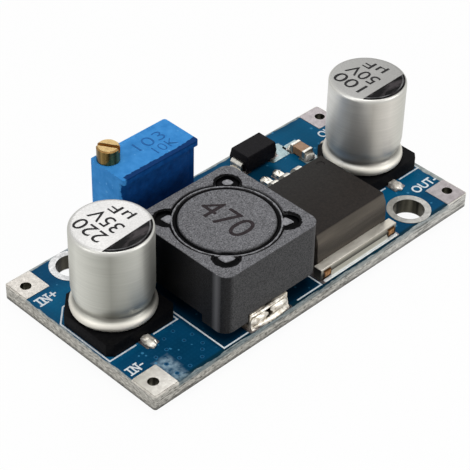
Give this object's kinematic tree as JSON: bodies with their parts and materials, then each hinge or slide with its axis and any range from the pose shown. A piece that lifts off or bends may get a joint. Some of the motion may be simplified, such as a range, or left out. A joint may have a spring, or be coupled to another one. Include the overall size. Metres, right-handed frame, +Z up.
{
  "type": "adjustable step-up converter module",
  "caption": "Flat circuit board that raises a DC voltage, with can capacitors, a shielded coil, a regulator, wire pads, mounting holes and a screw-adjusted trimmer.",
  "frame": {"origin": "centre of the two mounting holes' circle, on the underside of the board, which is also the board's centre", "axes": "+X along the board from the input end to the output end, +Y across the board to the edge beside the trimmer, +Z up out of the side with the components"},
  "size_m": [0.043, 0.021, 0.014],
  "materials": {
    "board": "satin blue solder mask over glass-fibre laminate",
    "tinned_copper": "tinned copper, bright",
    "solder": "bright solder",
    "can_aluminium": "satin drawn aluminium",
    "black_plastic": "matte moulded",
    "tinned_lead": "tinned, satin",
    "ferrite": "fine speckled grey",
    "copper_wire": "enamelled copper",
    "black_glue": "glossy black",
    "regulator_moulding": "matte moulded",
    "regulator_tab": "tinned copper, satin",
    "diode_moulding": "matte moulded",
    "tan_ceramic": "satin",
    "black_ceramic": "glossy overglaze",
    "white_ceramic": "matte alumina",
    "blue_plastic": "satin moulded",
    "dark_blue_resin": "cast resin",
    "brass": "satin",
    "black_rubber": "matte",
    "cream_plastic": "matte moulded"
  },
  "bodies": {
    "board": {"circuit_board": "board", "component_lands": "tinned_copper", "solder_fillets": "solder", "wire_pad_in_plus": "tinned_copper", "wire_pad_in_minus": "tinned_copper", "wire_pad_out_plus": "tinned_copper", "wire_pad_out_minus": "tinned_copper", "mounting_ring_front": "tinned_copper", "mounting_ring_rear": "tinned_copper", "input_capacitor_can": "can_aluminium", "input_capacitor_base": "black_plastic", "input_capacitor_lead_plus": "tinned_lead", "input_capacitor_lead_minus": "tinned_lead", "output_capacitor_can": "can_aluminium", "output_capacitor_base": "black_plastic", "output_capacitor_lead_plus": "tinned_lead", "output_capacitor_lead_minus": "tinned_lead", "coil_shield": "ferrite", "coil_drum": "ferrite", "coil_winding": "copper_wire", "coil_glue": "black_glue", "coil_terminal_front": "tinned_lead", "coil_terminal_rear": "tinned_lead", "regulator_body": "regulator_moulding", "regulator_tab": "regulator_tab", "regulator_lead_1": "tinned_lead", "regulator_lead_2": "tinned_lead", "regulator_lead_3": "tinned_lead", "regulator_lead_4": "tinned_lead", "regulator_lead_5": "tinned_lead", "diode_body": "diode_moulding", "diode_lead_left": "tinned_lead", "diode_lead_right": "tinned_lead", "chip_capacitor": "tan_ceramic", "chip_capacitor_ends": "tinned_lead", "chip_resistor": "black_ceramic", "chip_resistor_ends": "tinned_lead", "trimmer_housing": "blue_plastic", "trimmer_resin": "dark_blue_resin", "trimmer_element": "white_ceramic", "trimmer_pins": "tinned_lead", "trimmer_pin_solder": "solder", "trimmer_seal": "black_rubber"},
    "trimmer_screw": {"trimmer_screw": "brass"},
    "trimmer_wheel": {"trimmer_wheel": "cream_plastic", "trimmer_wiper": "brass"}
  },
  "joints": [
    {"name": "trimmer screw", "type": "hinge", "parent": "board", "child": "trimmer_screw", "pos_m": [-0.00995, 0.0084, 0.0132], "axis": [0, 0, 1], "range_deg": [-4500, 4500]},
    {"name": "trimmer wheel", "type": "hinge", "parent": "board", "child": "trimmer_wheel", "pos_m": [-0.00657, 0.0084, 0.0067], "axis": [0, 1, 0], "range_deg": [-136.5, 136.5]}
  ],
  "couplings": [
    {"joint": "trimmer wheel", "follows": "trimmer screw", "ratio": -0.030303}
  ]
}
